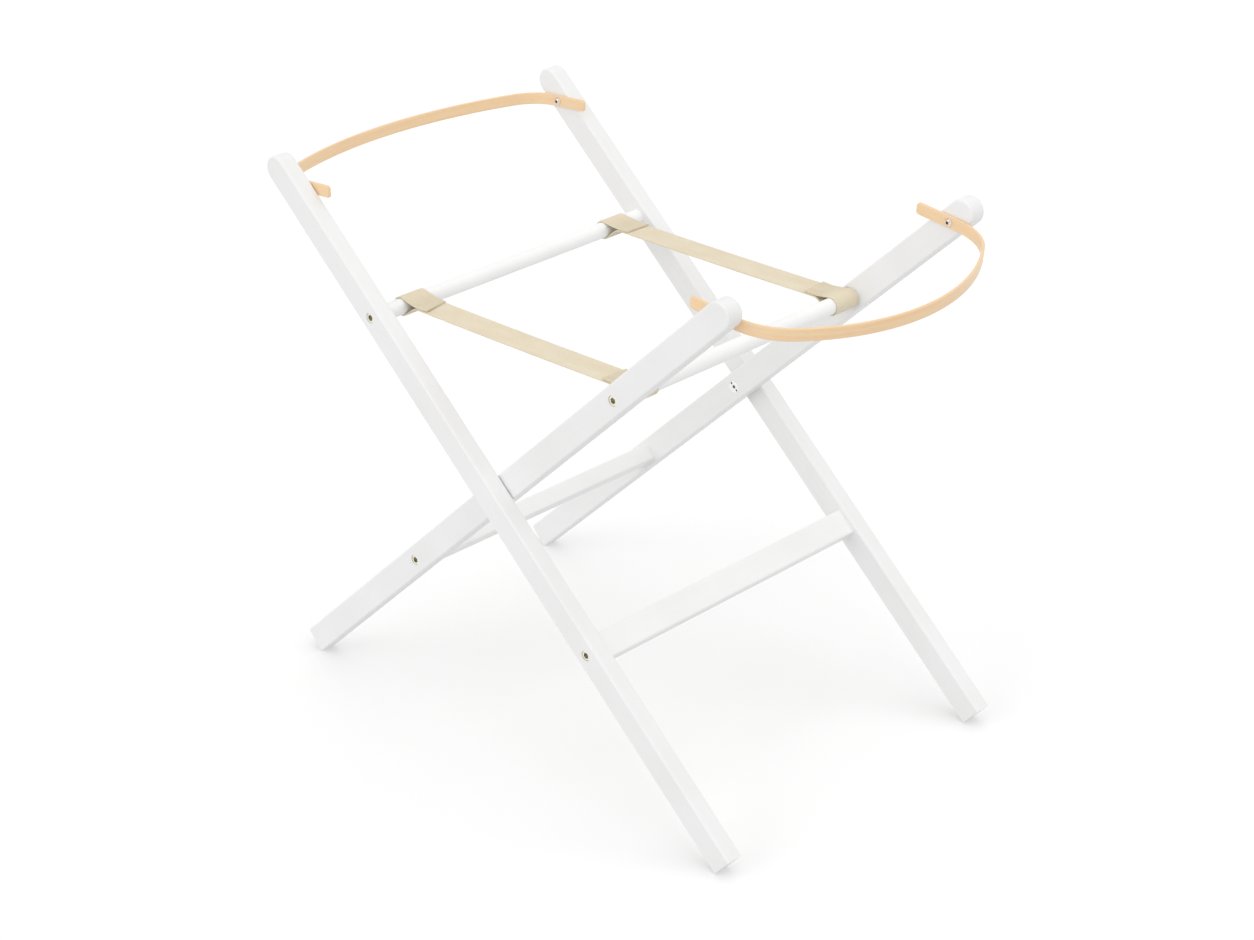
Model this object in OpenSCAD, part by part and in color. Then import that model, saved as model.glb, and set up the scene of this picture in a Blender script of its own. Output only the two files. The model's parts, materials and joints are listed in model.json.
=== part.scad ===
// Folding X-frame cradle stand: an outer and an inner leg frame crossing on two
// pivot bolts, two webbing straps between the upper dowels, and a bent wooden
// retaining bar at each end. Millimetres, +Z up, standing on Z = 0.

/* [Frames] */
// Overall width across the outer legs
frame_w = 380; // [340:5:420]
// Angle between each leg and the floor when open
leg_angle = 42.5; // [40:0.5:46]
// Leg length from the pivot down to the square foot
leg_below = 407; // [390:1:430]
// Leg length from the pivot up to the rounded top
leg_above = 394; // [385:1:410]
// Width of the leg and rail boards
board_w = 27; // [25:1:30]
// Thickness of the leg and rail boards
board_t = 18; // [17:1:20]
// Rounding of the boards' long edges
edge_r = 2; // [1:0.5:3]
// Distance from the pivot down to the lower rails
rail_drop = 176; // [150:1:200]

/* [Dowels and straps] */
// Diameter of the upper dowels
dowel_d = 16; // [14:1:18]
// Distance from the pivot up to the outer frame's dowel
outer_dowel_rise = 206.5; // [190:0.5:230]
// Distance from the pivot up to the inner frame's dowel
inner_dowel_rise = 208.5; // [190:0.5:230]
// Width of the webbing
strap_w = 30; // [20:1:32]
// Thickness of the webbing
strap_t = 1.6; // [1.2:0.1:2]
// Distance from the middle plane to each strap's middle
strap_y = 136; // [100:1:137]

/* [Retaining bars] */
// Height of the bent wooden strip
bar_h = 12; // [10:1:14]
// Thickness of the bent wooden strip
bar_t = 3; // [2.5:0.1:4]
// Distance from the pivot up to the outer frame's bar screws
outer_bar_rise = 356; // [345:1:365]
// Distance from the pivot up to the inner frame's bar screws
inner_bar_rise = 366; // [355:1:370]
// How far the outer frame's bar reaches out from its screws
outer_bar_reach = 77; // [70:1:95]
// How far the inner frame's bar reaches out from its screws
inner_bar_reach = 99; // [88:1:105]
// Radius of the outer frame's bar at its two tight bends
outer_bar_bend = 40; // [30:1:50]
// Radius of the inner frame's bar at its two tight bends
inner_bar_bend = 61; // [45:1:65]
// Downward tilt of the outer frame's bar
outer_bar_tilt = 4; // [0:1:12]
// Downward tilt of the inner frame's bar
inner_bar_tilt = 7; // [0:1:12]
// Length of the strip's free end past the screw
bar_tail = 38; // [25:1:42]

/* [Pivot] */
// Gap between an outer leg and the inner leg beside it
leg_gap = 1; // [1:0.1:2]
// Thickness of the washer in that gap
washer_t = 0.8; // [0.5:0.1:0.8]
// Diameter of the pivot bolt's shoulder
pivot_d = 8; // [6:0.5:8]

/* [Hidden] */
$fn = 64;

// Fits
run_gap = 0.05;             // radial clearance of a turning fit
fixed_gap = 0.02;           // radial clearance round fixed fasteners and pins
side_gap = 0.3;             // between faces that slide past each other
over = 1;                   // how far a cutter runs past the face it opens
lap = 1;                    // how far joined shapes overlap
spare = 1;                  // depth of a blind hole past its fastener's end

// Frame planes: distances from the middle plane to the legs' faces
outer_face_y = frame_w / 2;
outer_inside_y = outer_face_y - board_t;
inner_face_y = outer_inside_y - leg_gap;
inner_inside_y = inner_face_y - board_t;

// Joint screws: brass-coloured, heads sunk into the legs' outer faces
screw_r = 2.5;
screw_head_r = 4.8;
screw_head_h = 5.5;
screw_sink = 0.8;           // depth of the head below the face
screw_sink_r = 5.1;
screw_len = 44;             // under the head
screw_reach = screw_sink + screw_head_h + screw_len - board_t; // past the leg
socket_r = 3.2;             // hexagonal key socket
socket_depth = 4;

// Alignment pins beside the rail screws
pin_r = 3;
pin_len = 23;
pin_offset = 8.5;

// Bar screws: short, domed heads
bar_screw_r = 2;
bar_head_r = 4;
bar_head_h = 2.2;
bar_socket_r = 2;           // square key socket, half its diagonal
bar_socket_depth = 1.4;
bar_screw_grip = 13;        // length in the leg
bar_end_r = 3;              // rounded corners of the strip's ends
bar_straight = 9;           // flat length past the screw before the bend
bar_gap = 0.4;              // between the strip and the leg

// Pivot parts
pivot_head_r = 6.5;
pivot_head_h = 2.6;
pivot_head_gap = 0.1;       // radial, in the inner leg
pivot_socket_r = 2;         // hexagonal key socket
pivot_socket_depth = 2;
spanner_r = 1.2;            // the two pin holes beside the socket
spanner_depth = 1.6;
spanner_offset = 4.5;
pivot_thread_r = 3;
pivot_thread_len = 11;
washer_r = 10;
insert_r = 5;
insert_len = 12;

// Straps
outer_loop_gap = 0.1;       // loop to dowel, same frame
inner_loop_gap = 0.35;      // loop to dowel, other frame
run_level = 3.8;            // middle of the webbing above the mean of the dowels' axes
outer_seam = 35.5;          // sewn ends, measured in from the dowels' axes
inner_seam = 32.5;
outer_sewn = 15.5;          // length sewn flat between a loop and its seam
inner_sewn = 15;
loop_steps = 40;

// Pivot axis in the part's frame: the box of the whole part is centred on X = 0
pivot_z = leg_below * sin(leg_angle) + board_w / 2 * cos(leg_angle);
outer_extent = extent_x(outer_bar_rise, outer_bar_reach, outer_bar_tilt);
inner_extent = extent_x(inner_bar_rise, inner_bar_reach, inner_bar_tilt);
pivot_x = (outer_extent - inner_extent) / 2;
outer_dowel_at = outer_dowel_rise * [-cos(leg_angle), sin(leg_angle)]; // from the pivot
inner_dowel_at = inner_dowel_rise * [cos(leg_angle), sin(leg_angle)];

// How far a frame and its bar reach out from the pivot
function extent_x(rise, reach, tilt) =
    rise * cos(leg_angle) + (reach + bar_t / 2) * cos(tilt) + bar_h / 2 * sin(tilt);

function polar(c, r, a) = c + r * [cos(a), sin(a)];

// Points along an arc about c, one every 5 degrees or less
function arc(c, r, a0, a1) =
    let (n = ceil(abs(a1 - a0) / 5))
    [for (i = [0:n]) polar(c, r, a0 + (a1 - a0) * i / n)];

// ---- placing -------------------------------------------------------------

// A frame's own axes: X up along its legs, Z square to its plane, pivot at 0
module in_inner_frame()
    translate([pivot_x, 0, pivot_z])
        rotate([0, -leg_angle, 0]) children();

module in_outer_frame()
    translate([pivot_x, 0, pivot_z])
        mirror([1, 0, 0])
            rotate([0, -leg_angle, 0]) children();

// Near side (-Y) as drawn, far side mirrored
module far_side() mirror([0, 1, 0]) children();

module both_sides() {
    children();
    far_side() children();
}

// A bar's axes: X out from its screws, Y across, Z square to the strip's plane
module in_bar_plane(rise, tilt)
    translate([rise, 0, 0])
        rotate([0, leg_angle + tilt, 0]) children();

// A cylinder along +Y from y0 to y1
module y_cylinder(r, y0, y1)
    translate([0, y1, 0])
        rotate([90, 0, 0]) cylinder(r = r, h = y1 - y0);

// ---- boards --------------------------------------------------------------

module board_section() {
    square([board_w - 2 * edge_r, board_t], center = true);
    square([board_w, board_t - 2 * edge_r], center = true);
    for (x = [-1, 1], y = [-1, 1])
        translate([x * (board_w / 2 - edge_r), y * (board_t / 2 - edge_r)])
            circle(edge_r);
}

// Square foot at -leg_below, round top at leg_above, section centred on X
module leg_blank() {
    top_x = leg_above - board_w / 2;
    translate([-leg_below, 0, 0])
        rotate([0, 90, 0])
            linear_extrude(leg_below + top_x) board_section();
    translate([top_x, 0, 0])
        rotate([90, 0, 0])
            rotate([0, 0, -90])
                rotate_extrude(angle = 180)
                    intersection() {
                        board_section();
                        translate([0, -board_t]) square([board_w, 2 * board_t]);
                    }
}

// Hole for a joint screw or bolt, from the outer face of a near leg inwards
module sunk_screw_hole(face_y) {
    y_cylinder(screw_sink_r, -face_y - over, -face_y + screw_sink + screw_head_h);
    y_cylinder(screw_r + fixed_gap, -face_y, -face_y + board_t + over);
}

// Holes that both frames' legs share, in a frame's own axes
module leg_holes(face_y, dowel_rise, bar_rise) {
    inside_y = face_y - board_t;
    for (x = [dowel_rise, -rail_drop])
        translate([x, 0, 0]) sunk_screw_hole(face_y);
    translate([pin_offset - rail_drop, 0, 0])
        y_cylinder(pin_r + fixed_gap, -inside_y - pin_len / 2 - spare, -inside_y + over);
    translate([bar_rise, 0, 0])
        y_cylinder(bar_screw_r + fixed_gap, -inside_y - bar_screw_grip - spare,
                   -inside_y + over);
}

module outer_leg()
    color("white")
        in_outer_frame()
            difference() {
                translate([0, -outer_face_y + board_t / 2, 0]) leg_blank();
                leg_holes(outer_face_y, outer_dowel_rise, outer_bar_rise);
                y_cylinder(insert_r + fixed_gap, -outer_inside_y - insert_len - spare,
                           -outer_inside_y + over);
            }

module inner_leg()
    color("white")
        in_inner_frame()
            difference() {
                translate([0, -inner_face_y + board_t / 2, 0]) leg_blank();
                leg_holes(inner_face_y, inner_dowel_rise, inner_bar_rise);
                y_cylinder(pivot_d / 2 + run_gap, -inner_face_y - over, -inner_inside_y + over);
                y_cylinder(pivot_head_r + pivot_head_gap, -inner_inside_y - pivot_head_h - side_gap,
                           -inner_inside_y + over);
            }

// ---- cross members -------------------------------------------------------

// A hole in each end of a cross member that spans between two legs
module end_holes(r, inside_y, depth)
    both_sides() y_cylinder(r + fixed_gap, -inside_y - over, -inside_y + depth + spare);

module dowel(inside_y, rise)
    color("white")
        translate([rise, 0, 0])
            difference() {
                y_cylinder(dowel_d / 2, -inside_y, inside_y);
                end_holes(screw_r, inside_y, screw_reach);
            }

module rail(inside_y)
    color("white")
        translate([-rail_drop, 0, 0])
            difference() {
                translate([0, inside_y, 0])
                    rotate([90, 0, 0])
                        linear_extrude(2 * inside_y) board_section();
                end_holes(screw_r, inside_y, screw_reach);
                translate([pin_offset, 0, 0]) end_holes(pin_r, inside_y, pin_len / 2);
            }

// ---- fasteners -----------------------------------------------------------

// Joint screw of a near leg, at the origin of X and Z
module joint_screw(face_y) {
    head_y = screw_sink - face_y;
    shank_y = head_y + screw_head_h;
    color("goldenrod")
        difference() {
            union() {
                y_cylinder(screw_head_r, head_y, shank_y);
                y_cylinder(screw_r, shank_y - lap, shank_y + screw_len);
            }
            y_cylinder(socket_r, head_y - over, head_y + socket_depth, $fn = 6);
        }
}

module screw_pair(x, face_y)
    translate([x, 0, 0]) both_sides() joint_screw(face_y);

module pin_pair(inside_y)
    color("burlywood")
        translate([pin_offset - rail_drop, 0, 0])
            both_sides()
                y_cylinder(pin_r, -inside_y - pin_len / 2, -inside_y + pin_len / 2);

// Head of radius r that rises to h along +Y, its round face part of a sphere
module domed_head(r, h) {
    dome_r = (r * r + h * h) / (2 * h);
    intersection() {
        translate([0, h - dome_r, 0]) sphere(dome_r);
        y_cylinder(r, 0, h + over);
    }
}

module bar_screw_pair(inside_y, rise) {
    head_y = side_gap + bar_t + bar_gap - inside_y;
    color("silver")
        translate([rise, 0, 0])
            both_sides()
                difference() {
                    union() {
                        y_cylinder(bar_screw_r, -inside_y - bar_screw_grip, head_y + lap);
                        translate([0, head_y, 0]) domed_head(bar_head_r, bar_head_h);
                    }
                    y_cylinder(bar_socket_r, head_y + bar_head_h - bar_socket_depth,
                               head_y + bar_head_h + over, $fn = 4);
                }
}

module pivot_bolt() {
    head_y = -inner_inside_y;
    color("silver")
        in_outer_frame()
            difference() {
                union() {
                    y_cylinder(pivot_head_r, head_y - pivot_head_h, head_y);
                    y_cylinder(pivot_d / 2, -outer_inside_y, head_y - pivot_head_h + lap);
                    y_cylinder(pivot_thread_r, -outer_inside_y - pivot_thread_len,
                               -outer_inside_y + lap);
                }
                y_cylinder(pivot_socket_r, head_y - pivot_socket_depth, head_y + over, $fn = 6);
                for (x = [-spanner_offset, spanner_offset])
                    translate([x, 0, 0])
                        y_cylinder(spanner_r, head_y - spanner_depth, head_y + over);
            }
}

module pivot_washer()
    color("ivory")
        in_outer_frame()
            difference() {
                y_cylinder(washer_r, -outer_inside_y, -outer_inside_y + washer_t);
                y_cylinder(pivot_d / 2 + run_gap, -outer_inside_y - over,
                           -outer_inside_y + washer_t + over);
            }

module pivot_insert()
    color("goldenrod")
        in_outer_frame()
            difference() {
                y_cylinder(insert_r, -outer_inside_y - insert_len, -outer_inside_y);
                y_cylinder(pivot_thread_r + fixed_gap, -outer_inside_y - insert_len - over,
                           -outer_inside_y + over);
            }

// ---- retaining bars ------------------------------------------------------

// Middle line of the strip moved outwards by o: flat end, tight bend, wide arc,
// tight bend, flat end
function bow_path(half, reach, bend, o) =
    let (depth = reach - bend,
         inset = half - bend,
         wide_x = (depth * depth - bar_straight * bar_straight - inset * inset)
                  / (2 * (depth - bar_straight)),
         join_a = atan2(inset, bar_straight - wide_x),
         side = concat([[-bar_tail, half + o]],
                       arc([bar_straight, inset], bend + o, 90, join_a),
                       arc([wide_x, 0], reach - wide_x + o, join_a, 0)))
    concat(side, [for (i = [len(side) - 2:-1:0]) [side[i][0], -side[i][1]]]);

function reversed(list) = [for (i = [len(list) - 1:-1:0]) list[i]];

// Side view of the strip, with rounded ends at -bar_tail
module strip_profile(reach) {
    end_x = bar_end_r - bar_tail;
    translate([end_x, -bar_h / 2]) square([reach + bar_t - end_x, bar_h]);
    translate([-bar_tail, bar_end_r - bar_h / 2])
        square([bar_tail, bar_h - 2 * bar_end_r]);
    for (z = [-1, 1])
        translate([end_x, z * (bar_h / 2 - bar_end_r)]) circle(bar_end_r);
}

module retaining_bar(inside_y, reach, bend) {
    half = inside_y - bar_gap - bar_t / 2;
    color("burlywood")
        difference() {
            intersection() {
                linear_extrude(bar_h, center = true)
                    polygon(concat(bow_path(half, reach, bend, bar_t / 2),
                                   reversed(bow_path(half, reach, bend, -bar_t / 2))));
                rotate([90, 0, 0])
                    linear_extrude(2 * inside_y, center = true) strip_profile(reach);
            }
            both_sides() y_cylinder(bar_screw_r + run_gap, -half - bar_t, -half + bar_t);
        }
}

// ---- straps --------------------------------------------------------------

// Closed outline round a dowel at c, drawn to a point at p
function loop_outline(c, r, p) =
    let (d = p - c, lean = atan2(d[1], d[0]), open = acos(r / norm(d)))
    concat([for (i = [0:loop_steps])
            polar(c, r, lean + open + (360 - 2 * open) * i / loop_steps)], [p]);

module strap() {
    run_z = (outer_dowel_at[1] + inner_dowel_at[1]) / 2 + run_level;
    p_out = [outer_dowel_at[0] + outer_seam, run_z];
    p_in = [inner_dowel_at[0] - inner_seam, run_z];
    r_out = dowel_d / 2 + outer_loop_gap;
    r_in = dowel_d / 2 + inner_loop_gap;
    color("wheat")
        translate([pivot_x, -strap_y, pivot_z])
            rotate([90, 0, 0])
                linear_extrude(strap_w, center = true)
                    difference() {
                        union() {
                            polygon(loop_outline(outer_dowel_at, r_out + strap_t, p_out));
                            polygon(loop_outline(inner_dowel_at, r_in + strap_t, p_in));
                            translate([p_out[0] - outer_sewn, p_out[1] - strap_t / 2])
                                square([outer_sewn + p_in[0] - p_out[0] + inner_sewn, strap_t]);
                        }
                        polygon(loop_outline(outer_dowel_at, r_out, p_out - [outer_sewn, 0]));
                        polygon(loop_outline(inner_dowel_at, r_in, p_in + [inner_sewn, 0]));
                    }
}

// ---- nodes ---------------------------------------------------------------

module outer_leg_near() outer_leg();
module outer_leg_far() far_side() outer_leg();
module inner_leg_near() inner_leg();
module inner_leg_far() far_side() inner_leg();
module outer_dowel() in_outer_frame() dowel(outer_inside_y, outer_dowel_rise);
module inner_dowel() in_inner_frame() dowel(inner_inside_y, inner_dowel_rise);
module outer_rail() in_outer_frame() rail(outer_inside_y);
module inner_rail() in_inner_frame() rail(inner_inside_y);
module outer_bar()
    in_outer_frame()
        in_bar_plane(outer_bar_rise, outer_bar_tilt)
            retaining_bar(outer_inside_y, outer_bar_reach, outer_bar_bend);
module inner_bar()
    in_inner_frame()
        in_bar_plane(inner_bar_rise, inner_bar_tilt)
            retaining_bar(inner_inside_y, inner_bar_reach, inner_bar_bend);
module strap_near() strap();
module strap_far() far_side() strap();
module pivot_bolt_near() pivot_bolt();
module pivot_bolt_far() far_side() pivot_bolt();
module pivot_washer_near() pivot_washer();
module pivot_washer_far() far_side() pivot_washer();
module pivot_insert_near() pivot_insert();
module pivot_insert_far() far_side() pivot_insert();
module outer_dowel_screws() in_outer_frame() screw_pair(outer_dowel_rise, outer_face_y);
module inner_dowel_screws() in_inner_frame() screw_pair(inner_dowel_rise, inner_face_y);
module outer_rail_screws() in_outer_frame() screw_pair(-rail_drop, outer_face_y);
module inner_rail_screws() in_inner_frame() screw_pair(-rail_drop, inner_face_y);
module outer_rail_pins() in_outer_frame() pin_pair(outer_inside_y);
module inner_rail_pins() in_inner_frame() pin_pair(inner_inside_y);
module outer_bar_screws() in_outer_frame() bar_screw_pair(outer_inside_y, outer_bar_rise);
module inner_bar_screws() in_inner_frame() bar_screw_pair(inner_inside_y, inner_bar_rise);

outer_leg_near();
outer_leg_far();
inner_leg_near();
inner_leg_far();
outer_dowel();
inner_dowel();
outer_rail();
inner_rail();
outer_bar();
inner_bar();
strap_near();
strap_far();
pivot_bolt_near();
pivot_bolt_far();
pivot_washer_near();
pivot_washer_far();
pivot_insert_near();
pivot_insert_far();
outer_dowel_screws();
inner_dowel_screws();
outer_rail_screws();
inner_rail_screws();
outer_rail_pins();
inner_rail_pins();
outer_bar_screws();
inner_bar_screws();
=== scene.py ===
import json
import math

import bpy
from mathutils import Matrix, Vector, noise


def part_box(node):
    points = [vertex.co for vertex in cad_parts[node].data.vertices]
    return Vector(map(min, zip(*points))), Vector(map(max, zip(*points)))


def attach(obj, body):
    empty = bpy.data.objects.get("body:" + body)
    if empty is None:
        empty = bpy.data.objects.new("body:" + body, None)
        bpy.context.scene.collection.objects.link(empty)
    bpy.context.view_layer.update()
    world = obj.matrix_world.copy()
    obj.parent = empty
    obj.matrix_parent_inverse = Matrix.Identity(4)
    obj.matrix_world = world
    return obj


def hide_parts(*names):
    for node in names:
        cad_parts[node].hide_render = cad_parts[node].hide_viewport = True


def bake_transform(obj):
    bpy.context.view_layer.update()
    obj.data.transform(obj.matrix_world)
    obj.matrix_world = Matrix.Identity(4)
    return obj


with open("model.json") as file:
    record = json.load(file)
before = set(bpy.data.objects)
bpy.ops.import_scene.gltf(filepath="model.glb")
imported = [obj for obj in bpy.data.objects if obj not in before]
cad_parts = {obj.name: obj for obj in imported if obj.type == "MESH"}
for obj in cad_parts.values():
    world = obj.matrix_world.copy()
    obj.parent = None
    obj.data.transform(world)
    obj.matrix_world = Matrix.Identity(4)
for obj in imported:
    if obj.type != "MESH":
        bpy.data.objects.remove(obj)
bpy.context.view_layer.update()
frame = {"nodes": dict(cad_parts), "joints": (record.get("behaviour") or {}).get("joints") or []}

# Folding X-frame cradle stand: two white-painted leg frames that cross on pivot bolts, two
# webbing straps between their upper dowels and a bent-wood retaining bar at each end.
# Metres, +Z up, standing on Z = 0. The CAD boards and metalwork keep their shapes and get
# eased edges and materials; the straps and the bars are modelled here in finer detail.

MM = 0.001

# ---- places taken from the CAD frame -------------------------------------------------


def joint_place(name):
    """A joint's point, on its axis in the middle of the stand."""
    return Vector(next(j["pos_m"] for j in frame["joints"] if j["name"] == name))


def middle(node):
    low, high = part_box(node)
    return (low + high) / 2


PIVOT = joint_place("fold")
OUTER_DOWEL = middle("outer_dowel")
INNER_DOWEL = middle("inner_dowel")
DOWEL_R = (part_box("outer_dowel")[1].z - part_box("outer_dowel")[0].z) / 2
LEG_ANGLE = math.atan2(INNER_DOWEL.z - PIVOT.z, INNER_DOWEL.x - PIVOT.x)

# ---- camera, floor and light ---------------------------------------------------------

VIEW_AZIMUTH = math.radians(45.24)
VIEW_ELEVATION = math.radians(25.97)
VIEW_ROLL = math.radians(-1.22)
VIEW_DISTANCE = 2.710
VIEW_OFFSET = (-0.0007, -0.0348)  # the camera's axis, right and up of the pivots' middle
LENS, SENSOR = 79.55, 36.0


def add_camera():
    level = Vector((math.cos(VIEW_AZIMUTH), math.sin(VIEW_AZIMUTH), 0))
    back = Vector((
        math.sin(VIEW_AZIMUTH) * math.cos(VIEW_ELEVATION),
        -math.cos(VIEW_AZIMUTH) * math.cos(VIEW_ELEVATION),
        math.sin(VIEW_ELEVATION),
    ))
    upward = back.cross(level)
    right = level * math.cos(VIEW_ROLL) + upward * math.sin(VIEW_ROLL)
    up = upward * math.cos(VIEW_ROLL) - level * math.sin(VIEW_ROLL)
    data = bpy.data.cameras.new("camera")
    data.lens = LENS
    data.sensor_width = SENSOR
    data.sensor_fit = "HORIZONTAL"
    data.clip_start, data.clip_end = 0.05, 60
    camera = bpy.data.objects.new("camera", data)
    bpy.context.scene.collection.objects.link(camera)
    place = PIVOT + right * VIEW_OFFSET[0] + up * VIEW_OFFSET[1] + back * VIEW_DISTANCE
    camera.matrix_world = Matrix.Translation(place) @ Matrix((right, up, back)).transposed().to_4x4()
    bpy.context.scene.camera = camera


SKY, GROUND = 0.80, 0.73       # light from above and from below the horizon
HORIZON_FADE = 0.1             # how softly one turns into the other
OVERHEAD, FRONT, SIDE = 0.60, 0.53, 0.22  # strengths of the three soft lights


def add_sun(name, towards, spread, strength):
    """A soft light from one direction; spread is its angle across."""
    data = bpy.data.lights.new(name, "SUN")
    data.angle = math.radians(spread)
    data.energy = strength
    light = bpy.data.objects.new(name, data)
    bpy.context.scene.collection.objects.link(light)
    light.rotation_euler = Vector(towards).to_track_quat("Z", "Y").to_euler()


def add_light():
    world = bpy.data.worlds.new("studio")
    bpy.context.scene.world = world
    world.use_nodes = True
    nodes, links = world.node_tree.nodes, world.node_tree.links
    direction = nodes.new("ShaderNodeTexCoord")
    height = nodes.new("ShaderNodeSeparateXYZ")
    level = nodes.new("ShaderNodeMapRange")
    links.new(direction.outputs["Generated"], height.inputs[0])
    links.new(height.outputs["Z"], level.inputs["Value"])
    level.inputs["From Min"].default_value = -HORIZON_FADE
    level.inputs["From Max"].default_value = HORIZON_FADE
    level.inputs["To Min"].default_value = GROUND
    level.inputs["To Max"].default_value = SKY
    links.new(level.outputs[0], nodes["Background"].inputs["Strength"])
    nodes["Background"].inputs["Color"].default_value = (1, 1, 1, 1)
    add_sun("overhead", (0.25, 0.1, 1), 70, OVERHEAD)
    add_sun("front", (-0.3, -1, 0.4), 50, FRONT)
    add_sun("side", (1, -0.4, 0.3), 60, SIDE)


# ---- materials -----------------------------------------------------------------------


class Shader:
    """A Principled material with short calls for the nodes that feed it."""

    def __init__(self, name, **plain):
        self.material = bpy.data.materials.new(name)
        self.material.use_nodes = True
        self.tree = self.material.node_tree
        self.surface = self.tree.nodes["Principled BSDF"]
        for socket, value in plain.items():
            self.surface.inputs[socket.replace("_", " ")].default_value = value

    def add(self, kind, inputs=None, **settings):
        made = self.tree.nodes.new(kind)
        for setting, value in settings.items():
            setattr(made, setting, value)
        for socket, value in (inputs or {}).items():
            if isinstance(value, bpy.types.NodeSocket):
                self.tree.links.new(value, made.inputs[socket])
            else:
                made.inputs[socket].default_value = value
        return made

    def coordinates(self, source, rotation=(0, 0, 0), scale=(1, 1, 1)):
        made = self.add("ShaderNodeTexCoord").outputs[source]
        turned = self.add("ShaderNodeMapping", {"Vector": made, "Rotation": rotation})
        return self.add(
            "ShaderNodeMapping", {"Vector": turned.outputs[0], "Scale": scale}
        ).outputs[0]

    def noise(self, vector, scale, detail=2.0, roughness=0.5):
        return self.add("ShaderNodeTexNoise", {
            "Vector": vector, "Scale": scale, "Detail": detail, "Roughness": roughness,
        }).outputs["Fac"]

    def math(self, operation, a, b=0.0):
        return self.add("ShaderNodeMath", {0: a, 1: b}, operation=operation).outputs[0]

    def spread(self, value, low, high, to_low=0.0, to_high=1.0):
        return self.add("ShaderNodeMapRange", {
            "Value": value, "From Min": low, "From Max": high,
            "To Min": to_low, "To Max": to_high,
        }).outputs[0]

    def colour(self, amount, first, second):
        mixed = self.add(
            "ShaderNodeMix", {"Factor": amount, "A": first, "B": second}, data_type="RGBA"
        )
        return mixed.outputs["Result"]

    def bump(self, height, depth, under=None):
        inputs = {"Height": height, "Distance": depth, "Strength": 1.0}
        if under is not None:
            inputs["Normal"] = under
        return self.add("ShaderNodeBump", inputs).outputs["Normal"]

    def drive(self, socket, value):
        self.tree.links.new(value, self.surface.inputs[socket])


def rgb(red, green, blue):
    return (red, green, blue, 1.0)


def painted_wood(name, turn, white):
    """Satin white paint on wood whose grain runs along X once the object is turned so. white
    is how light the paint is coloured, raised on some parts as painted light."""
    shader = Shader(name, Specular_IOR_Level=0.45)
    grain_at = shader.coordinates("Object", turn, (18, 520, 520))
    grain = shader.noise(grain_at, 1.0, 4.0, 0.6)
    plain_at = shader.coordinates("Object")
    peel = shader.noise(plain_at, 900.0, 2.0)
    cloud = shader.noise(plain_at, 14.0, 3.0)
    tone = shader.math("ADD", shader.math("MULTIPLY", cloud, 0.7),
                       shader.math("MULTIPLY", grain, 0.3))
    shader.drive("Base Color", shader.colour(
        shader.spread(tone, 0.35, 0.65),
        rgb(white - 0.04, white - 0.04, white - 0.045), rgb(white, white, white)))
    shader.drive("Roughness", shader.spread(cloud, 0.3, 0.7, 0.34, 0.46))
    coarse = shader.bump(grain, 0.06 * MM)
    shader.drive("Normal", shader.bump(peel, 0.025 * MM, coarse))
    return shader.material


def bent_wood():
    """Lacquered pale beech: streaks and short flecks along the strip, from its UV map."""
    shader = Shader("bent_wood", Specular_IOR_Level=0.5, Coat_Weight=0.25, Coat_Roughness=0.2)
    streak = shader.noise(shader.coordinates("UV", scale=(9, 330, 1)), 1.0, 3.0, 0.55)
    fine = shader.noise(shader.coordinates("UV", scale=(38, 2200, 1)), 1.0, 3.0, 0.6)
    fleck = shader.noise(shader.coordinates("UV", scale=(260, 2600, 1)), 1.0, 1.0)
    flecks = shader.spread(fleck, 0.66, 0.74)
    ground = shader.colour(shader.spread(streak, 0.3, 0.7),
                           rgb(0.93, 0.62, 0.35), rgb(0.94, 0.72, 0.45))
    lined = shader.colour(shader.spread(fine, 0.35, 0.8, 0.0, 0.45), ground,
                          rgb(0.79, 0.53, 0.30))
    shader.drive("Base Color", shader.colour(
        shader.math("MULTIPLY", flecks, 0.35), lined, rgb(0.56, 0.35, 0.18)))
    shader.drive("Roughness", shader.spread(fine, 0.2, 0.8, 0.30, 0.48))
    shader.drive("Normal", shader.bump(shader.math("SUBTRACT", fine, flecks), 0.05 * MM))
    return shader.material


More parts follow.
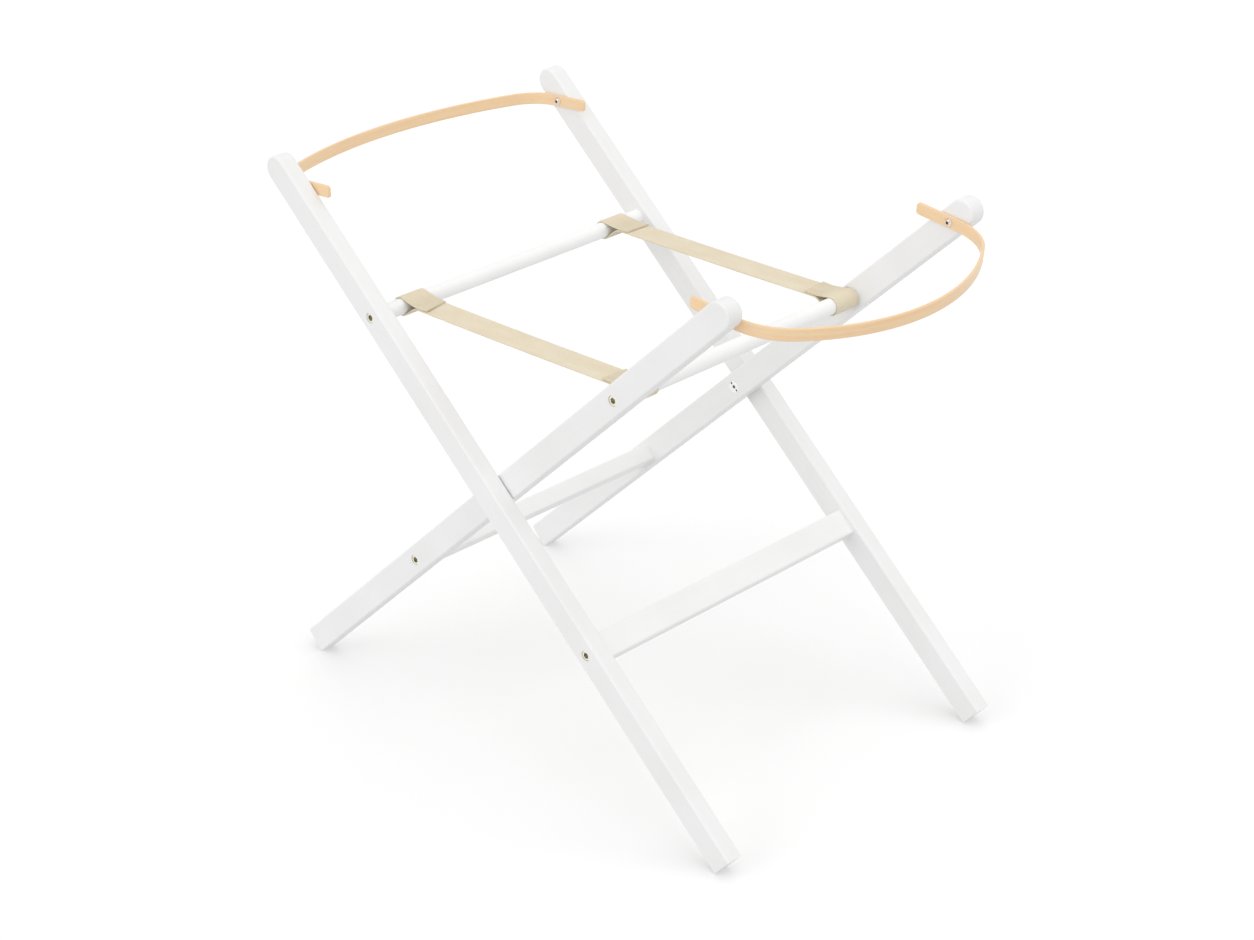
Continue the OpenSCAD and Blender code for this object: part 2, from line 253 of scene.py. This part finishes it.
def webbing(name, single):
    """Cream cotton webbing in a plain weave: ribs along the strap crossed by the weft. Between
    the two lengths in single no second layer backs it, and more light comes through; outside them,
    on the sewn ends and the loops, the colour is made darker as painted shade."""
    shader = Shader(name, Specular_IOR_Level=0.2, Sheen_Weight=0.25, Sheen_Roughness=0.5)
    at = shader.add("ShaderNodeSeparateXYZ", {"Vector": shader.coordinates("UV")})
    along = shader.math("MULTIPLY", at.outputs["X"], math.tau / WEFT_PITCH)
    across = shader.math("MULTIPLY", at.outputs["Y"], math.tau / WARP_PITCH)
    rib = shader.math("SINE", across)
    cross = shader.math("MULTIPLY", shader.math("SINE", along), rib)
    weave = shader.math("ADD", cross, shader.math("MULTIPLY", shader.math("ABSOLUTE", rib), 0.6))
    fuzz = shader.noise(shader.coordinates("UV"), 2600.0, 3.0, 0.7)
    cloud = shader.noise(shader.coordinates("UV", scale=(22, 60, 1)), 1.0, 3.0)
    ground = shader.colour(shader.spread(cloud, 0.3, 0.7),
                           rgb(0.78, 0.67, 0.48), rgb(0.83, 0.74, 0.56))
    shaded = shader.colour(shader.spread(weave, -0.9, 0.3, 0.35, 0.0), ground,
                           rgb(0.56, 0.46, 0.30))
    fuzzy = shader.colour(shader.spread(fuzz, 0.45, 0.75, 0.0, 0.25), shaded,
                          rgb(0.92, 0.86, 0.71))
    doubled_shade = shader.math(
        "ADD", shader.spread(at.outputs["X"], single[0], single[0] + BACKED_FADE, 1.0, 0.0),
        shader.spread(at.outputs["X"], single[1] - BACKED_FADE, single[1], 0.0, 1.0))
    # painted shade on the doubled webbing of the sewn ends and the loops
    shader.drive("Base Color", shader.colour(
        shader.math("MULTIPLY", doubled_shade, BACKED_SHADE), fuzzy, rgb(0.44, 0.36, 0.23)))
    shader.drive("Roughness", shader.spread(fuzz, 0.2, 0.8, 0.8, 0.95))
    woven = shader.bump(weave, 0.14 * MM)
    shader.drive("Normal", shader.bump(fuzz, 0.08 * MM, woven))
    return shader.material


def thread():
    """Twisted sewing thread."""
    shader = Shader("thread", Specular_IOR_Level=0.3, Roughness=0.75)
    twist = shader.noise(shader.coordinates("Object", scale=(2500, 2500, 2500)), 1.0, 2.0)
    shader.drive("Base Color", shader.colour(
        shader.spread(twist, 0.3, 0.7), rgb(0.70, 0.62, 0.46), rgb(0.84, 0.78, 0.64)))
    shader.drive("Normal", shader.bump(twist, 0.05 * MM))
    return shader.material


def metal(name, first, second, rough, socket_shade=None):
    """Plated metal with fine turning marks and a little tarnish, and painted shade down in the
    sockets of its heads: a darker colour where painted_shade_amount finds them."""
    shader = Shader(name, Metallic=1.0)
    at = shader.coordinates("Object")
    tarnish = shader.noise(at, 300.0, 3.0, 0.6)
    marks = shader.noise(at, 4200.0, 2.0)
    plate = shader.colour(shader.spread(tarnish, 0.35, 0.65), first, second)
    if socket_shade:
        shade_colour, place = socket_shade
        # painted shade down in the sockets of the heads
        plate = shader.colour(painted_shade_amount(shader, at, *place), plate, shade_colour)
    shader.drive("Base Color", plate)
    shader.drive("Roughness", shader.spread(tarnish, 0.3, 0.7, rough, rough + 0.14))
    shader.drive("Normal", shader.bump(marks, 0.02 * MM))
    return shader.material


def painted_shade_amount(shader, at, node, radius, face, facing):
    """Mask for the painted shade in the sockets: 1 inside radius of a node's axis and below the
    faces of its heads, 0 elsewhere. The heads' faces lie face away from the stand's middle
    plane, and look away from that plane where facing is 1 or towards it where it is -1."""
    centre = middle(node)
    place = shader.add("ShaderNodeSeparateXYZ", {"Vector": at})
    off_x = shader.math("SUBTRACT", place.outputs["X"], centre.x)
    off_z = shader.math("SUBTRACT", place.outputs["Z"], centre.z)
    squares = shader.math("ADD", shader.math("MULTIPLY", off_x, off_x),
                          shader.math("MULTIPLY", off_z, off_z))
    inside = shader.math("LESS_THAN", squares, radius ** 2)
    height = shader.math("MULTIPLY", shader.math("ABSOLUTE", place.outputs["Y"]), facing)
    below = shader.math("LESS_THAN", height, facing * face - SHADE_START_DEPTH)
    return shader.math("MULTIPLY", inside, below)


# Painted shade: darker colours put down in the sockets of the screw and bolt heads, where shade
# falls
SOCKET_SHADE_BROWN = rgb(0.16, 0.11, 0.08)
SOCKET_SHADE_GREY = rgb(0.42, 0.42, 0.41)
SOCKET_SHADE_OLIVE = rgb(0.60, 0.58, 0.48)
SHADE_START_DEPTH = 0.2 * MM        # depth at which the painted shade in a socket starts
JOINT_SHADE_R = 3.4 * MM      # reach of that painted shade from the axis: joint screws
BAR_SHADE_R = 2.2 * MM        # bar screws
PIVOT_SHADE_R = 5.9 * MM      # pivot bolts, out past their two pin holes
SOCKET_RIM_IN = 2.1 * MM       # rim of a bar screw's socket, in from the strip's inner face


# The screw and bolt metals below carry painted shade in their sockets
def joint_screw_metal(node):
    place = (node, JOINT_SHADE_R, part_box(node)[1].y, 1)
    return metal(f"brass_{node}", rgb(0.80, 0.77, 0.62), rgb(0.90, 0.87, 0.74), 0.30,
                 (SOCKET_SHADE_OLIVE, place))


def bar_screw_metal(part):
    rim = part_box(f"{part}_bar")[1].y - BAR_T - SOCKET_RIM_IN
    place = (f"{part}_bar_screws", BAR_SHADE_R, rim, -1)
    return metal(f"zinc_{part}_bar", rgb(0.70, 0.60, 0.52), rgb(0.84, 0.76, 0.69), 0.22,
                 (SOCKET_SHADE_BROWN, place))


def pivot_metal(side):
    node = f"pivot_bolt_{side}"
    head_face = min(abs(corner.y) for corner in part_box(node))
    return metal(f"nickel_{side}", rgb(0.86, 0.86, 0.85), rgb(0.93, 0.93, 0.92), 0.40,
                 (SOCKET_SHADE_GREY, (node, PIVOT_SHADE_R, head_face, -1)))


def nylon():
    shader = Shader("nylon", Specular_IOR_Level=0.45, Subsurface_Weight=0.1)
    cloud = shader.noise(shader.coordinates("Object"), 400.0, 2.0)
    shader.drive("Base Color", shader.colour(cloud, rgb(0.78, 0.77, 0.72), rgb(0.84, 0.83, 0.79)))
    shader.drive("Roughness", shader.spread(cloud, 0.3, 0.7, 0.38, 0.5))
    return shader.material


def raw_beech():
    """Unpainted pin with its grain along Y."""
    shader = Shader("raw_beech", Specular_IOR_Level=0.35)
    grain = shader.noise(shader.coordinates("Object", scale=(1800, 60, 1800)), 1.0, 3.0)
    shader.drive("Base Color", shader.colour(grain, rgb(0.62, 0.42, 0.24), rgb(0.78, 0.59, 0.37)))
    shader.drive("Roughness", shader.spread(grain, 0.3, 0.7, 0.55, 0.7))
    shader.drive("Normal", shader.bump(grain, 0.05 * MM))
    return shader.material


def floor_material():
    shader = Shader("floor", Specular_IOR_Level=0.1)
    cloud = shader.noise(shader.coordinates("Object"), 3.0, 2.0)
    shader.drive("Base Color", shader.colour(
        cloud, rgb(0.965, 0.965, 0.965), rgb(0.985, 0.985, 0.985)))
    shader.drive("Roughness", shader.spread(cloud, 0.0, 1.0, 0.85, 0.95))
    return shader.material


# ---- meshes --------------------------------------------------------------------------

SHARP_ANGLE = 50           # degrees between faces above which an edge shades sharp
EASE_ANGLE = 35            # and above which a CAD edge is eased
WELD_APART = 0.002 * MM    # CAD points nearer than this become one


def make_object(name, points, faces, material, uvs=None):
    """A smooth-shaded mesh object. uvs holds one (u, v) for each corner of each face."""
    mesh = bpy.data.meshes.new(name)
    mesh.from_pydata([tuple(p) for p in points], [], faces)
    if uvs is not None:
        layer = mesh.uv_layers.new(name="Along")
        for loop, uv in zip(layer.data, (uv for face in uvs for uv in face)):
            loop.uv = uv
    mesh.materials.append(material)
    mesh.validate()
    mesh.shade_smooth()
    mesh.set_sharp_from_angle(angle=math.radians(SHARP_ANGLE))
    made = bpy.data.objects.new(name, mesh)
    bpy.context.scene.collection.objects.link(made)
    return made


def sweep(name, rings, lengths, rounds, material):
    """A closed tube through rings of points, all alike in number, with flat ends.
    lengths gives each ring's distance along it, rounds each point's distance round a ring."""
    count = len(rings[0])
    points = [p for ring in rings for p in ring]
    faces, uvs = [], []
    for i in range(len(rings) - 1):
        for j in range(count):
            k = (j + 1) % count
            faces.append((i * count + j, i * count + k, (i + 1) * count + k, (i + 1) * count + j))
            u0, u1, v0, v1 = lengths[i], lengths[i + 1], rounds[j], rounds[j + 1]
            uvs.append(((u0, v0), (u0, v1), (u1, v1), (u1, v0)))
    last = (len(rings) - 1) * count
    faces.append(tuple(range(count - 1, -1, -1)))
    uvs.append([(lengths[0], rounds[j]) for j in range(count - 1, -1, -1)])
    faces.append(tuple(range(last, last + count)))
    uvs.append([(lengths[-1], rounds[j]) for j in range(count)])
    return make_object(name, points, faces, material, uvs)


def running_total(points, closed=False):
    """Distance from the first point to each point, and back to the first if closed."""
    total = [0.0]
    pairs = zip(points, points[1:] + points[:1] if closed else points[1:])
    for a, b in pairs:
        total.append(total[-1] + math.dist(a, b))
    return total


def rounded_section(width, thick, radius, across, corner):
    """(w, t) points round a rounded rectangle, starting in the middle of its -t side, so
    that a seam in the pattern falls there. across and corner are steps on each stretch."""
    w, t = width / 2 - radius, thick / 2 - radius
    corners = ((w, -t, -90), (w, t, 0), (-w, t, 90), (-w, -t, 180))
    points = [(w * i / across, -thick / 2) for i in range(across)]
    for n, (cw, ct, start) in enumerate(corners):
        for i in range(corner + 1):
            a = math.radians(start + 90 * i / corner)
            points.append((cw + radius * math.cos(a), ct + radius * math.sin(a)))
        if n == 1:
            points += [(w - 2 * w * i / (2 * across), thick / 2) for i in range(1, 2 * across)]
    points += [(-w + w * i / across, -thick / 2) for i in range(1, across)]
    return points


def soften(node, width):
    """Eases a CAD node's sharp edges as sanding and paint do."""
    node.data.polygons.foreach_set("use_smooth", [True] * len(node.data.polygons))
    weld = node.modifiers.new("weld", "WELD")
    weld.merge_threshold = WELD_APART
    bevel = node.modifiers.new("ease", "BEVEL")
    bevel.width = width
    bevel.segments = 2
    bevel.limit_method = "ANGLE"
    bevel.angle_limit = math.radians(EASE_ANGLE)
    bevel.use_clamp_overlap = True
    bevel.harden_normals = True
    normals = node.modifiers.new("normals", "WEIGHTED_NORMAL")
    normals.keep_sharp = False
    normals.weight = 80


# ---- retaining bars ------------------------------------------------------------------

BAR_H, BAR_T = 12 * MM, 3 * MM
BAR_EDGE = 0.9 * MM        # rounding of the strip's long edges
BAR_TAIL = 38 * MM         # free end past the screw
BAR_STRAIGHT = 9 * MM      # flat length past the screw before the bend
BAR_BEND = {"outer_bar": 40 * MM, "inner_bar": 61 * MM}  # radius of the tight bends
BAR_END_R = 3 * MM         # rounding of the free ends' corners
BAR_END_RINGS = (0.04, 0.15, 0.35, 0.65, 1)  # places along that rounding
BAR_STEP = 1.5 * MM        # between rings along the strip
TILT_ROUNDS = 20           # more than enough for a bar's tilt to settle


def arc_points(centre, radius, start, end, step):
    """Points along an arc from angle start to end, at most step apart, without its start."""
    count = max(2, math.ceil(radius * abs(end - start) / step))
    angles = [start + (end - start) * i / count for i in range(1, count + 1)]
    return [(centre[0] + radius * math.cos(a), centre[1] + radius * math.sin(a)) for a in angles]


def straight_points(a, b, step):
    """Points from a to b, at most step apart, without a."""
    count = max(1, math.ceil(math.dist(a, b) / step))
    return [(a[0] + (b[0] - a[0]) * i / count, a[1] + (b[1] - a[1]) * i / count)
            for i in range(1, count + 1)]


def bow_path(half, reach, bend):
    """Middle line of a bar seen from above, x outwards: flat end, tight bend, wide arc,
    and the same again mirrored."""
    depth, inset = reach - bend, half - bend
    wide_x = (depth ** 2 - BAR_STRAIGHT ** 2 - inset ** 2) / (2 * (depth - BAR_STRAIGHT))
    join = math.atan2(inset, BAR_STRAIGHT - wide_x)
    side = [(-BAR_TAIL, half)]
    side += [(BAR_END_R * share - BAR_TAIL, half) for share in BAR_END_RINGS]
    side += straight_points(side[-1], (BAR_STRAIGHT, half), BAR_STEP)
    side += arc_points((BAR_STRAIGHT, inset), bend, math.pi / 2, join, BAR_STEP)
    side += arc_points((wide_x, 0), reach - wide_x, join, 0, BAR_STEP)
    return side + [(x, -y) for x, y in reversed(side[:-1])]


def add_bar(name, node, body, joint, out, material):
    """Bent strip for one bar; out is +1 where it reaches towards +X, -1 towards -X."""
    screw = joint_place(joint)
    low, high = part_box(node)
    half = high.y - BAR_T / 2
    tip_x = (high.x if out > 0 else low.x) - screw.x
    tip_z = (low.z if tip_x * out > 0 else high.z) - screw.z
    tilt, reach = bar_tilt_and_reach(abs(tip_x), -tip_z)
    outwards = Vector((out * math.cos(tilt), 0, -math.sin(tilt)))
    square_up = Vector((out * math.sin(tilt), 0, math.cos(tilt)))
    path = bow_path(half, reach, BAR_BEND[node])
    section = rounded_section(BAR_H, BAR_T, BAR_EDGE, 3, 3)
    lengths = running_total(path)
    rings = []
    for i, (x, y) in enumerate(path):
        before, after = path[max(i - 1, 0)], path[min(i + 1, len(path) - 1)]
        along = Vector((after[0] - before[0], after[1] - before[1])).normalized()
        to_end = min(lengths[i], lengths[-1] - lengths[i])
        gone = max(0.0, BAR_END_R - to_end)
        cut = BAR_END_R - math.sqrt(max(0.0, BAR_END_R ** 2 - gone ** 2))
        ring = []
        for w, t in section:
            w *= 1 - 2 * cut / BAR_H
            across = x - along.y * t, y + along.x * t
            ring.append(screw + outwards * across[0] + Vector((0, across[1], 0)) + square_up * w)
        rings.append(ring)
    bar = sweep(name, rings, lengths, running_total(section, closed=True), material)
    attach(bar, body)
    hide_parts(node)


def bar_tilt_and_reach(tip_x, tip_drop):
    """The tilt and reach of a strip whose outermost edge lies tip_x out from its screw and
    whose lowest edge lies tip_drop below it, found by repeating from a level strip."""
    tilt = 0.0
    for _ in range(TILT_ROUNDS):
        reach = (tip_x - BAR_H / 2 * math.sin(tilt)) / math.cos(tilt) - BAR_T / 2
        tilt = math.asin((tip_drop - BAR_H / 2 * math.cos(tilt)) / (reach + BAR_T / 2))
    return tilt, reach


# ---- straps --------------------------------------------------------------------------

WEB_W, WEB_T = 30 * MM, 1.6 * MM
WEB_EDGE = 0.75 * MM       # rounding of the selvedges
WARP_PITCH, WEFT_PITCH = 2.4 * MM, 1.9 * MM
LOOP_GAP = 0.2 * MM        # between the webbing and the dowels
RUN_SAG = 0.5 * MM         # in the middle of the run
OUTER_OPEN = 20 * MM       # where the outer loop's two layers meet, in from the dowel's axis
INNER_OPEN = 17.5 * MM     # and the inner loop's
# The webbing's ends, sewn on top of the run: how far in from each dowel's axis, how much
# further at the edge nearest the leg, because they are cut by hand, and how far above the
# dowel's axis the run under them leaves the loop
SEAMS = {
    "near": {"outer": (34.5 * MM, 3 * MM, 2.9 * MM), "inner": (32 * MM, 0.5 * MM, 3 * MM)},
    "far": {"outer": (36.5 * MM, 0.5 * MM, 5 * MM), "inner": (33 * MM, 0.8 * MM, 4.6 * MM)},
}
END_LIFT, END_LIFT_LEN = 0.5 * MM, 3 * MM  # the cut ends curl up a little
WEB_STEP = 1.2 * MM        # between rings round the loops
RUN_STEPS = 200            # lengths that the run is drawn in
SOFT_PASSES = 14           # how far the corners of the path are rounded
WAVE = 0.25 * MM           # unevenness of the woven edges
WAVE_RATE = 90             # how quickly it changes from ring to ring
WAVE_APART = 5             # keeps the two edges' unevenness unlike
BACKED_SHADE = 0.22        # painted shade: how much darker the sewn ends are coloured
BACKED_FADE = 18 * MM      # length over which that shade fades out round the loops
SLANT_FADE = 12 * MM       # how far back a slanted end pulls the webbing
SPLIT_X = 77 * MM          # the run's three lengths part this far each side of the pivots


def touch_angle(centre, radius, point, turn):
    """Angle on the circle where the line from point touches it, turn +1 or -1 for its side."""
    away = math.atan2(point[1] - centre[1], point[0] - centre[0])
    return away + turn * math.acos(radius / math.dist(centre, point))


def web_path(seams):
    """Middle line of the webbing in the X-Z plane: from its end on top at the outer dowel,
    over and round it, along the run, under and round the inner dowel to its end on top."""
    radius = DOWEL_R + LOOP_GAP + WEB_T / 2
    path = loop_path(OUTER_DOWEL, 1, OUTER_OPEN, seams["outer"], radius)
    back = loop_path(INNER_DOWEL, -1, INNER_OPEN, seams["inner"], radius)[::-1]
    (start_x, start_z), (stop_x, stop_z) = path[-1], back[0]
    for share in (i / RUN_STEPS for i in range(1, RUN_STEPS)):
        sag = RUN_SAG * 4 * share * (1 - share)
        path.append((start_x + (stop_x - start_x) * share,
                     start_z + (stop_z - start_z) * share - sag))
    return relaxed(path + back, radius)


def loop_path(dowel, inwards, opening, seam, radius):
    """From the webbing's end on top, over, round and under a dowel to the end of the seam.
    inwards is +1 or -1, towards the other dowel along X."""
    centre = (0.0, 0.0)
    length, _, level = seam
    top = level + WEB_T
    top_open, run_open = (opening, top), (opening, level)
    over = touch_angle(centre, radius, top_open, 1)
    under = touch_angle(centre, radius, run_open, -1) + math.tau
    path = [(length, top + END_LIFT)]
    path += straight_points(path[-1], (length - END_LIFT_LEN, top), WEB_STEP)
    path += straight_points(path[-1], top_open, WEB_STEP)
    path += straight_points(top_open, (radius * math.cos(over), radius * math.sin(over)), WEB_STEP)
    path += arc_points(centre, radius, over, under, WEB_STEP)
    path += straight_points(path[-1], run_open, WEB_STEP)
    path += straight_points(run_open, (length, level), WEB_STEP)
    return [(dowel.x + inwards * x, dowel.z + z) for x, z in path]


def relaxed(path, radius):
    """The path with its corners rounded, kept out of the dowels."""
    dowels = ((OUTER_DOWEL.x, OUTER_DOWEL.z), (INNER_DOWEL.x, INNER_DOWEL.z))
    for _ in range(SOFT_PASSES):
        softer = [path[0]]
        for a, b, c in zip(path, path[1:], path[2:]):
            x, z = (a[0] + 2 * b[0] + c[0]) / 4, (a[1] + 2 * b[1] + c[1]) / 4
            for centre in dowels:
                apart = math.dist(centre, (x, z))
                if apart < radius:
                    x = centre[0] + (x - centre[0]) * radius / apart
                    z = centre[1] + (z - centre[1]) * radius / apart
            softer.append((x, z))
        path = softer + [path[-1]]
    return path


def web_rings(path, y, seed, slants):
    """Rings across the webbing, and the section they share. slants says how much further
    its two ends reach at +w."""
    section = rounded_section(WEB_W, WEB_T, WEB_EDGE, 8, 3)
    lengths = running_total(path)
    rings = []
    for i, (x, z) in enumerate(path):
        before, after = path[max(i - 1, 0)], path[min(i + 1, len(path) - 1)]
        along = Vector((after[0] - before[0], after[1] - before[1])).normalized()
        from_end = (lengths[i], lengths[-1] - lengths[i])
        slant = sum(
            way * amount * max(0.0, 1 - gone / SLANT_FADE)
            for way, amount, gone in zip((-1, 1), slants, from_end)
        )
        ring = []
        for w, t in section:
            side = 1 if w > 0 else -1
            ripple = noise.noise(Vector((i * WEB_STEP * WAVE_RATE, side * WAVE_APART, seed)))
            wide = w + ripple * WAVE * abs(w) * 2 / WEB_W
            on = slant * w * 2 / WEB_W
            ring.append(Vector((
                x + along.x * on - along.y * t, y + wide, z + along.y * on + along.x * t)))
        rings.append(ring)
    return rings, section


def add_strap(side, node, y, seed, sewing_thread):
    """One strap in three lengths, split on the run between the dowels, and the stitching of its
    two seams."""
    seams = SEAMS[side]
    (outer_seam, outer_slant, _), (inner_seam, inner_slant, _) = seams["outer"], seams["inner"]
    outwards = math.copysign(1, y)
    path = web_path(seams)
    rings, section = web_rings(path, y, seed, (outer_slant * outwards, inner_slant * outwards))
    lengths, rounds = running_total(path), running_total(section, closed=True)
    single = (outer_seam - OUTER_OPEN, lengths[-1] - (inner_seam - INNER_OPEN))
    cloth = webbing(f"webbing_{side}", single)
    first = nearest_ring(path, PIVOT.x - SPLIT_X)
    second = nearest_ring(path, PIVOT.x + SPLIT_X)
    parts = {"outer": (0, first), "middle": (first, second), "inner": (second, len(path) - 1)}
    for part, (start, end) in parts.items():
        web = sweep(f"webbing_{side}_{part}", rings[start:end + 1], lengths[start:end + 1],
                    rounds, cloth)
        join_to_frames(web, node)
    sewn = {
        "outer": (OUTER_DOWEL.x + OUTER_OPEN, OUTER_DOWEL.x + outer_seam, outer_slant),
        "inner": (INNER_DOWEL.x - INNER_OPEN, INNER_DOWEL.x - inner_seam, inner_slant),
    }
    for part, (start, end, slant) in sewn.items():
        skew = math.copysign(slant, end - start) * outwards
        stitches = add_stitches(f"stitching_{side}_{part}", path, (start, end, skew), y,
                                sewing_thread)
        join_to_frames(stitches, node)


def nearest_ring(path, x):
    """Number of the ring nearest to x, which lies on the run between the seams."""
    return min(range(len(path)), key=lambda i: abs(path[i][0] - x))


def join_to_frames(piece, node):
    """Bakes a piece's place into its mesh and hides the CAD node that it stands in for."""
    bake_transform(piece)
    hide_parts(node)


STITCH_LEN, STITCH_R, STITCH_PITCH = 2.3 * MM, 0.32 * MM, 2.9 * MM
STITCH_INSET = 2.5 * MM    # seam lines in from the webbing's edges
STITCH_CLEAR = 1 * MM      # and from where the layers part
STITCH_SIDES, STITCH_RINGS = 6, 6


def add_stitches(name, path, seam, y, material):
    """A sewn box above and below the two layers. seam is where it starts, where the webbing
    ends and how much further it ends at +w."""
    start, end, skew = seam
    inwards = math.copysign(1, end - start)
    x0, x1 = start + STITCH_CLEAR * inwards, end - STITCH_INSET * inwards
    half = WEB_W / 2 - STITCH_INSET
    lean = skew * half * 2 / WEB_W
    corners = [(x0, -half), (x1 - lean, -half), (x1 + lean, half), (x0, half)]
    points, faces = [], []
    for a, b in zip(corners, corners[1:] + corners[:1]):
        count = max(1, round(math.dist(a, b) / STITCH_PITCH))
        direction = Vector((b[0] - a[0], b[1] - a[1], 0)).normalized()
        for share in ((i + 0.5) / count for i in range(count)):
            x, w = a[0] + (b[0] - a[0]) * share, a[1] + (b[1] - a[1]) * share
            for z in layer_faces(path, x):
                add_capsule(points, faces, Vector((x, y + w, z)), direction)
    return make_object(name, points, faces, material)


def layer_faces(path, x):
    """The underside of the run and the top of what is sewn on it, at x."""
    heights = [p[1] for p in path if abs(p[0] - x) < WEB_STEP and p[1] > OUTER_DOWEL.z]
    return min(heights) - WEB_T / 2, max(heights) + WEB_T / 2


def add_capsule(points, faces, centre, direction):
    """One stitch, a thin round-ended bar along direction."""
    base = len(points)
    across = direction.cross(Vector((0, 0, 1)))
    for i in range(STITCH_RINGS):
        turn = math.pi * (i + 0.5) / STITCH_RINGS
        at = centre - direction * math.cos(turn) * STITCH_LEN / 2
        radius = STITCH_R * math.sin(turn) ** 0.5
        for j in range(STITCH_SIDES):
            a = math.tau * j / STITCH_SIDES
            points.append(at + across * radius * math.cos(a) + Vector((0, 0, radius * math.sin(a))))
    for i in range(STITCH_RINGS - 1):
        for j in range(STITCH_SIDES):
            k = (j + 1) % STITCH_SIDES
            row = base + i * STITCH_SIDES
            faces.append((row + j, row + k, row + STITCH_SIDES + k, row + STITCH_SIDES + j))
    last = base + (STITCH_RINGS - 1) * STITCH_SIDES
    faces.append(tuple(range(base + STITCH_SIDES - 1, base - 1, -1)))
    faces.append(tuple(range(last, last + STITCH_SIDES)))


# ---- the stand -----------------------------------------------------------------------

FLOOR_SIZE = 40
WHITE_AND_PAINTED_LIGHT = {"leg": 0.90, "dowel": 0.965, "rail": 0.935}  # how light each part's paint is coloured: the legs' own white, the dowels and rails lighter as painted light
EASE = {                   # how wide each part's edges are eased
    "leg": 0.8 * MM, "cross": 0.4 * MM, "joint_screw": 0.3 * MM, "bar_screw": 0.2 * MM,
    "pin": 0.3 * MM, "bolt": 0.2 * MM, "washer": 0.1 * MM, "insert": 0.1 * MM,
}


def add_floor():
    bpy.ops.mesh.primitive_plane_add(size=FLOOR_SIZE)
    floor = bpy.context.object
    floor.name = "floor"
    floor.data.materials.append(floor_material())
    floor.visible_diffuse = False  # the light from below is the world's


def dress_cad():
    along_leg = {"inner": (0, LEG_ANGLE, 0), "outer": (0, math.pi - LEG_ANGLE, 0)}
    # the dowels and rails get lighter copies of the legs' paint, as painted light
    across = {
        "dowel": painted_wood("paint_dowel", (0, 0, -math.pi / 2), WHITE_AND_PAINTED_LIGHT["dowel"]),
        "rail": painted_wood("paint_rail", (0, 0, -math.pi / 2), WHITE_AND_PAINTED_LIGHT["rail"]),
    }
    washer, beech = nylon(), raw_beech()
    insert = metal("insert_brass", rgb(0.62, 0.52, 0.32), rgb(0.76, 0.66, 0.44), 0.35)
    looks = {}
    for part, turn in along_leg.items():
        paint = painted_wood(f"paint_{part}_leg", turn, WHITE_AND_PAINTED_LIGHT["leg"])
        for side in ("near", "far"):
            looks[f"{part}_leg_{side}"] = (paint, EASE["leg"])
        for cross in ("dowel", "rail"):
            looks[f"{part}_{cross}"] = (across[cross], EASE["cross"])
            screws = f"{part}_{cross}_screws"
            looks[screws] = (joint_screw_metal(screws), EASE["joint_screw"])
        looks[f"{part}_bar_screws"] = (bar_screw_metal(part), EASE["bar_screw"])
        looks[f"{part}_rail_pins"] = (beech, EASE["pin"])
    for side in ("near", "far"):
        looks[f"pivot_bolt_{side}"] = (pivot_metal(side), EASE["bolt"])
        looks[f"pivot_washer_{side}"] = (washer, EASE["washer"])
        looks[f"pivot_insert_{side}"] = (insert, EASE["insert"])
    for name, (material, ease) in looks.items():
        node = frame["nodes"][name]
        for slot in node.material_slots:
            slot.material = material
        soften(node, ease)


add_camera()
add_light()
add_floor()
dress_cad()
wood = bent_wood()
add_bar("outer_bar_strip", "outer_bar", "outer_bar", "outer_bar_swing", -1, wood)
add_bar("inner_bar_strip", "inner_bar", "inner_bar", "inner_bar_swing", 1, wood)
sewing_thread = thread()
for number, side in enumerate(("near", "far")):
    add_strap(side, f"strap_{side}", middle(f"strap_{side}").y, number, sewing_thread)

bpy.context.scene.view_settings.view_transform = "Standard"
